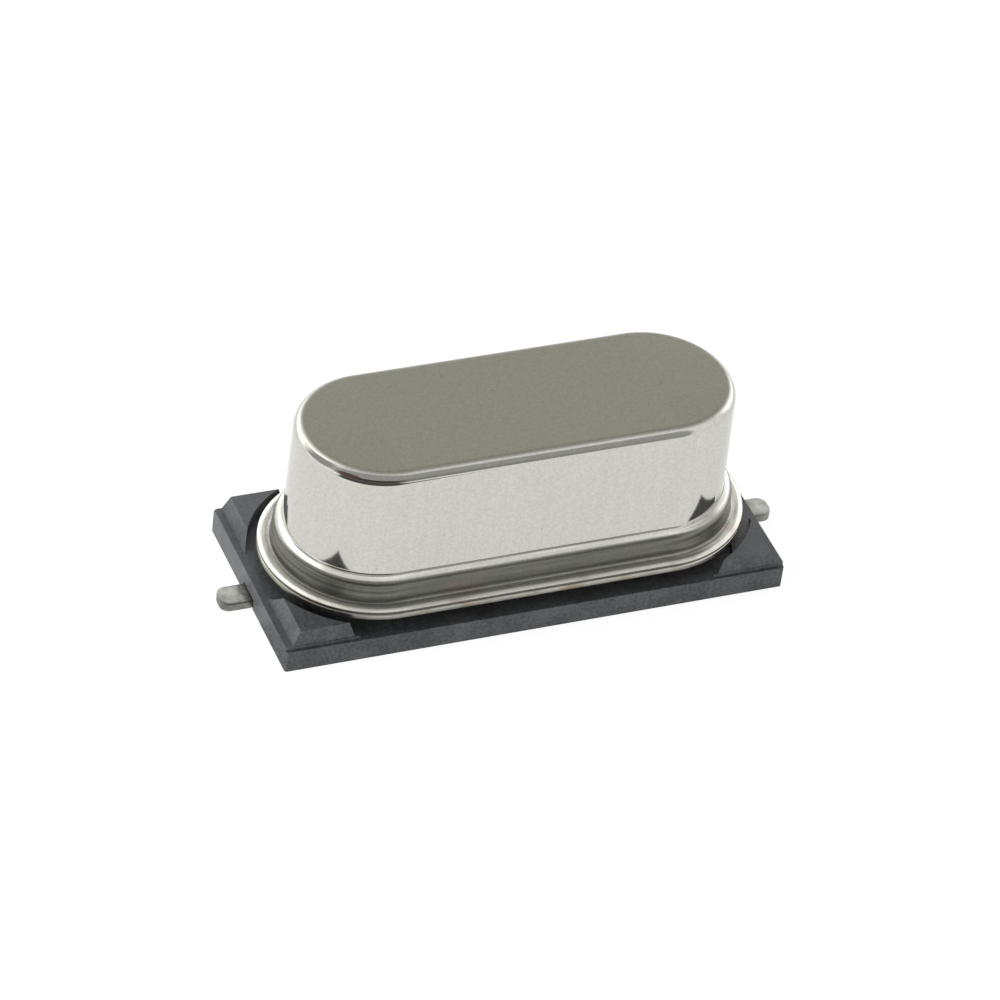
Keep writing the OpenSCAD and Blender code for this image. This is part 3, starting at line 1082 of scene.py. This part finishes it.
def make_lead(side):
    """Post, bend, round run and pressed tail of one wire."""
    bm = bmesh.new()
    top_z = lead_high.z
    bmesh.ops.create_circle(bm, cap_ends=True, segments=WIRE_SIDES, radius=wire_r)
    bmesh.ops.translate(bm, verts=bm.verts, vec=(lead_x, 0, top_z))
    rim = extrude_by(bm, list(bm.edges), (0, 0, wire_r + WIRE_BEND - top_z))
    bend_centre = (lead_x + WIRE_BEND, 0, wire_r + WIRE_BEND)
    rim = spin_edges(bm, rim, bend_centre, (0, 1, 0), -math.pi / 2, BEND_STEPS)
    stations = [press_start]
    stations += [press_start + PRESS_LENGTH * k / PRESS_STEPS for k in range(1, PRESS_STEPS + 1)]
    stations += [tail_end - TIP_ROUND]
    stations += [
        tail_end - TIP_ROUND * (1 - math.sin(math.pi / 2 * k / TIP_STEPS))
        for k in range(1, TIP_STEPS + 1)
    ]
    x = lead_x + WIRE_BEND
    for station in stations:
        rim = extrude_by(bm, rim, (station - x, 0, 0))
        x = station
    for point in bm.verts:
        if point.co.x > press_start + TINY:
            point.co = press_flat(point.co)
    bmesh.ops.holes_fill(bm, edges=rim, sides=0)
    if side < 0:
        bmesh.ops.rotate(bm, verts=bm.verts, matrix=Matrix.Rotation(math.pi, 3, "Z"))
    name = "left" if side < 0 else "right"
    return finish_piece(bm, f"wire_{name}", [f"lead_{name}"], satin_tin)


for side in (-1, 1):
    make_lead(side)

# %% [markdown]
# ## The parts sealed inside
#
# The quartz strip, its silver films, the springs that hold it, the dots of silver
# cement and the glass beads keep their CAD shapes, which are already exact. They
# only need their finishes. Each is a small material of its own.

# %% Materials: the inner parts
GLASS = (0.05, 0.08, 0.08)
SPRING_METAL = (0.6, 0.58, 0.53)
QUARTZ = (0.9, 0.93, 0.94)
SILVER = (0.85, 0.85, 0.83)
CEMENT = (0.45, 0.45, 0.43)
INNER_SHADE = (0.9, 1.1)


def simple_finish(name, colour, rough, per_mm, metallic=0.0, transmission=0.0):
    """A finish whose colour and roughness vary with the grain."""
    material, tree, shader = start_material(name)
    place, _ = place_in_mm(tree)
    fine = grains(tree, place, per_mm)
    shade = step(tree, fine, *NOISE_MIDDLE, *INNER_SHADE)
    tree.links.new(shaded(tree, colour, shade), shader.inputs["Base Color"])
    tree.links.new(step(tree, fine, *NOISE_WIDE, *rough), shader.inputs["Roughness"])
    shader.inputs["Metallic"].default_value = metallic
    shader.inputs["Transmission Weight"].default_value = transmission
    return material


inner_finishes = {
    "glass_bead": simple_finish("bead_glass", GLASS, (0.08, 0.16), 5),
    "spring": simple_finish("spring_strip", SPRING_METAL, (0.25, 0.4), 12, metallic=1.0),
    "quartz": simple_finish("lapped_quartz", QUARTZ, (0.2, 0.35), 20, transmission=0.9),
    "electrode": simple_finish("evaporated_silver", SILVER, (0.12, 0.22), 14, metallic=1.0),
    "cement": simple_finish("conductive_cement", CEMENT, (0.5, 0.7), 18),
}
for node_name, node_object in sorted(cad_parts.items()):
    for start, finish in inner_finishes.items():
        if node_name.startswith(start):
            node_object.data.materials.clear()
            node_object.data.materials.append(finish)
            print(node_name, "gets", finish.name)

# %% [markdown]
# ## The studio
#
# Polished metal shows its surroundings, so the studio is half of the finish. A
# white tent stands over a lit white table, which makes the walls bright. The
# tent is open towards the camera. There the room is grey, with a dark strip low
# down, and this gives the can's rounded edges their grey band and dark line.
# Softboxes at the back make the white crescents at the can's round ends. All of
# it is painted on the world by direction, so it stands still while the camera
# moves.

# %% Helper: a direction


def toward(azimuth, elevation):
    """The direction from the object to a viewer at that azimuth and elevation."""
    a = math.radians(azimuth)
    e = math.radians(elevation)
    return Vector((math.sin(a) * math.cos(e), -math.cos(a) * math.cos(e), math.sin(e)))


# %% The world
TENT = grey(0.95)
GREY_ROOM = grey(0.41)
SOFTBOX = grey(1.75)
DARK_STRIP = (0.06, 0.05, 0.045, 1.0)
BROWN_PATCH = (0.15, 0.095, 0.07, 1.0)
WORLD_LEVEL = 0.25

# Azimuth, elevation, and the radius of each patch's core and edge, in degrees.
OPEN_FRONT = (-20, 26, 46, 56)
OPEN_LEFT = (-110, 25, 24, 36)
HIGH_SOFTBOX = (-144, 54, 16, 24)
BACK_SOFTBOX = (180, 5, 40, 70)
RIGHT_SOFTBOX = (126, 16, 24, 38)
STRIP = (-28, 8, 24, 56)
BROWN = (-56, 24, 10, 16)

# Heights of the dark strip's lower and upper edge, as parts of the sky's radius.
STRIP_FOOT = (0.0, 0.05)
STRIP_TOP = (0.46, 0.3)

world = bpy.data.worlds.new("studio")
bpy.context.scene.world = world
world.use_nodes = True
sky = world.node_tree
sky.nodes.clear()
direction = add(sky, "ShaderNodeTexCoord").outputs["Generated"]
rise = along_axes(sky, direction)["Z"]


def spot(azimuth, elevation, core, edge):
    """A mask that is 1 within core degrees of a direction and 0 past edge degrees."""
    near = along(sky, direction, toward(azimuth, elevation))
    return step(sky, near, math.cos(math.radians(edge)), math.cos(math.radians(core)))


room = blend(sky, spot(*OPEN_FRONT), TENT, GREY_ROOM)
room = blend(sky, spot(*OPEN_LEFT), room, GREY_ROOM)
for softbox in (HIGH_SOFTBOX, BACK_SOFTBOX, RIGHT_SOFTBOX):
    room = blend(sky, spot(*softbox), room, SOFTBOX)
strip = times(sky, step(sky, rise, *STRIP_FOOT), step(sky, rise, *STRIP_TOP))
room = blend(sky, times(sky, strip, spot(*STRIP)), room, DARK_STRIP)
room = blend(sky, spot(*BROWN), room, BROWN_PATCH)

# %% [markdown]
# ## One world for three kinds of ray
#
# The camera sees plain white behind the part. Mirrors see the painted room at its
# full level. Matte surfaces get a dimmer copy of it, because the plastic is lit
# more weakly from above than from the table. One world can do all three, since the
# Light Path node tells what kind of ray is asking.

# %% What each kind of ray sees of the world
path = add(sky, "ShaderNodeLightPath").outputs
mirrored = maths(sky, "MAXIMUM", path["Is Glossy Ray"], path["Is Transmission Ray"])
level = step(sky, mirrored, 0.0, 1.0, WORLD_LEVEL, 1.0)
shown = blend(sky, path["Is Camera Ray"], shaded(sky, room, level), grey(1.0))
background = add(sky, "ShaderNodeBackground", {"Color": shown, "Strength": 1.0})
surface = add(sky, "ShaderNodeOutputWorld")
sky.links.new(background.outputs[0], surface.inputs["Surface"])
print("world:", len(sky.nodes), "nodes")

# %% [markdown]
# ## The table and its painted shade
#
# The table glows a little, as a lit acrylic sheet does. Two dark patches are
# painted on it at the front corners of the part: painted shade, which the polished
# wall mirrors as crisp dark accents. Each patch's front edge runs a little
# backwards past the end of the base, which sets the slant of its mirror image. A
# centimetre in front of the part's middle the table is painted dark as well, as
# painted shade, which draws the dark line under the can's front corner.
#
# Real dark cards would also darken the soft light and come into view. So the
# patches and the line are masks in the table's material that only mirrors see:
# the camera and the soft light see a plain white table.

# %% The painted shade patches
# Painted shade: two dark patches on the table, seen only in mirrors.
SHADE_PATCH_REACH_LEFT = 7.15
SHADE_PATCH_REACH_RIGHT = 7.02
SHADE_PATCH_FRONT_LEFT = 3.55
SHADE_PATCH_FRONT_RIGHT = 3.42
SHADE_PATCH_SLANT = 0.33
SHADE_PATCH_BACK = 0.85
SHADE_PATCH_EDGE = 0.06
MIRRORED_SHADE_LEVEL = 0.08


def shade_patch_mask(tree, place):
    """Where the two patches of painted shade lie on the table."""
    parts = along_axes(tree, place)
    length = maths(tree, "ABSOLUTE", parts["X"])
    is_right = step(tree, parts["X"], -1.0, 1.0)
    reach = step(tree, is_right, 0.0, 1.0, SHADE_PATCH_REACH_LEFT, SHADE_PATCH_REACH_RIGHT)
    front = step(tree, is_right, 0.0, 1.0, SHADE_PATCH_FRONT_LEFT, SHADE_PATCH_FRONT_RIGHT)
    past_end = maths(tree, "MAXIMUM", maths(tree, "SUBTRACT", length, base_l / 2), 0.0)
    slant = times(tree, past_end, SHADE_PATCH_SLANT)
    behind_front = maths(tree, "ADD", maths(tree, "SUBTRACT", parts["Y"], slant), front)
    patch = step(tree, maths(tree, "SUBTRACT", reach, length), -SHADE_PATCH_EDGE, 0.0)
    patch = times(tree, patch, step(tree, behind_front, -SHADE_PATCH_EDGE, 0.0))
    return times(tree, patch, step(tree, parts["Y"], -SHADE_PATCH_BACK + SHADE_PATCH_EDGE, -SHADE_PATCH_BACK))


# %% The painted shade line in front of the part
# Painted shade: beyond this line the table looks dark to mirror rays.
FRONT_AZIMUTH = -30
FRONT_EDGE = 9.8
FRONT_SOFT = 1.5
FRONT_SPREAD = 0.7
FRONT_FADE = 4.0


def past_shade_line(tree, place):
    """Where the table is painted dark as shade for mirrors, in a sector that widens towards the front.
    """
    forward = along(tree, place, toward(FRONT_AZIMUTH, 0))
    aside = maths(tree, "ABSOLUTE", along(tree, place, toward(FRONT_AZIMUTH + 90, 0)))
    aside = maths(tree, "SUBTRACT", aside, times(tree, forward, FRONT_SPREAD))
    ended = step(tree, forward, FRONT_EDGE, FRONT_EDGE + FRONT_SOFT)
    return times(tree, ended, step(tree, aside, FRONT_FADE, 0.0))


# %% [markdown]
# ## The floor
#
# The floor is a wide disc under the part. It glows, so that the camera sees it as
# white as the background, and it is also matte white, so that it still takes a
# soft shadow. Stronger lamps could whiten it too, but they would light the part
# too strongly.

# %% Material: the table
FLOOR_COLOUR = grey(0.8)
FLOOR_SEEN = grey(0.4)
FLOOR_GLOW = 0.9
TABLE_GLOW = 0.68
SOFT_GLOW = 0.86


def make_floor_white():
    """A glowing white table with a soft shadow, and painted shade that only mirrors see."""
    material = bpy.data.materials.new("floor_white")
    material.use_nodes = True
    tree = material.node_tree
    tree.nodes.clear()
    path = add(tree, "ShaderNodeLightPath").outputs
    seen = path["Is Camera Ray"]
    mirrored = maths(tree, "MAXIMUM", path["Is Glossy Ray"], path["Is Transmission Ray"])
    place, _ = place_in_mm(tree)
    dark = maths(tree, "MAXIMUM", shade_patch_mask(tree, place), past_shade_line(tree, place))
    dark = times(tree, dark, mirrored)
    colour = blend(tree, seen, FLOOR_COLOUR, FLOOR_SEEN)
    colour = blend(tree, dark, colour, grey(MIRRORED_SHADE_LEVEL))
    matte = add(tree, "ShaderNodeBsdfDiffuse", {"Color": colour})
    glow_level = step(tree, mirrored, 0.0, 1.0, SOFT_GLOW, TABLE_GLOW)
    glow_level = step(tree, seen, 0.0, 1.0, glow_level, FLOOR_GLOW)
    glow_level = times(tree, glow_level, step(tree, dark, 0.0, 1.0, 1.0, MIRRORED_SHADE_LEVEL))
    glow = add(tree, "ShaderNodeEmission", {"Color": grey(1.0), "Strength": glow_level})
    lit = add(tree, "ShaderNodeAddShader", {0: matte.outputs[0], 1: glow.outputs[0]})
    output = add(tree, "ShaderNodeOutputMaterial")
    tree.links.new(lit.outputs[0], output.inputs["Surface"])
    return material


# %% The floor
FLOOR_RADIUS = 0.6
FLOOR_STEPS = 128

bm = bmesh.new()
bmesh.ops.create_circle(bm, cap_ends=True, segments=FLOOR_STEPS, radius=FLOOR_RADIUS)
floor = new_object(bm, "floor")
floor.data.materials.append(make_floor_white())
print(f"floor: {2 * FLOOR_RADIUS} m across")

# %% [markdown]
# ## The lamp
#
# One soft lamp stands low at the left and gives the plastic its shading. Mirror
# rays don't see it, because for them the softboxes are already painted on the
# world.

# %% The lamp
LAMP_POWER = 0.085
LAMP_SIZE = 0.08
LAMP_DISTANCE = 0.13
LAMP_FROM = (-85, 14)

lamp_data = bpy.data.lights.new("key", "AREA")
lamp_data.energy = LAMP_POWER
lamp_data.size = LAMP_SIZE
lamp = bpy.data.objects.new("key", lamp_data)
bpy.context.scene.collection.objects.link(lamp)
lamp.visible_glossy = False
from_lamp = toward(*LAMP_FROM)
lamp.location = from_lamp * LAMP_DISTANCE
lamp.rotation_mode = "QUATERNION"
lamp.rotation_quaternion = from_lamp.to_track_quat("Z", "Y")
print(f"lamp: {LAMP_DISTANCE} m away, {LAMP_POWER} W")

# %% [markdown]
# ## The camera
#
# A camera stands in front of the part, to the left and above it. It has a long
# lens and is some nine lengths of the part away, which keeps the edges nearly
# parallel. It is turned a little about its own axis, so that the long edges climb
# to the right.

# %% The camera
VIEW_AZIMUTH = -25.8
VIEW_ELEVATION = 38.95
VIEW_ROLL = 7.59
VIEW_DISTANCE = 0.1208
VIEW_TARGET = Vector((0, 0, 2.0)) * MM
LENS = 201.84
SHIFT = (-0.0063, -0.0132)

camera_data = bpy.data.cameras.new("camera")
camera_data.lens = LENS
camera_data.shift_x, camera_data.shift_y = SHIFT
camera_data.clip_start = MM
camera = bpy.data.objects.new("camera", camera_data)
bpy.context.scene.collection.objects.link(camera)
bpy.context.scene.camera = camera
back = toward(VIEW_AZIMUTH, VIEW_ELEVATION)
camera.location = VIEW_TARGET + back * VIEW_DISTANCE
camera.rotation_mode = "QUATERNION"
level_view = (-back).to_track_quat("-Z", "Y")
roll = Matrix.Rotation(math.radians(VIEW_ROLL), 3, "Z").to_quaternion()
camera.rotation_quaternion = level_view @ roll
bpy.context.scene.view_settings.view_transform = "Standard"
print(f"camera: {LENS} mm lens, {VIEW_DISTANCE} m from the part")
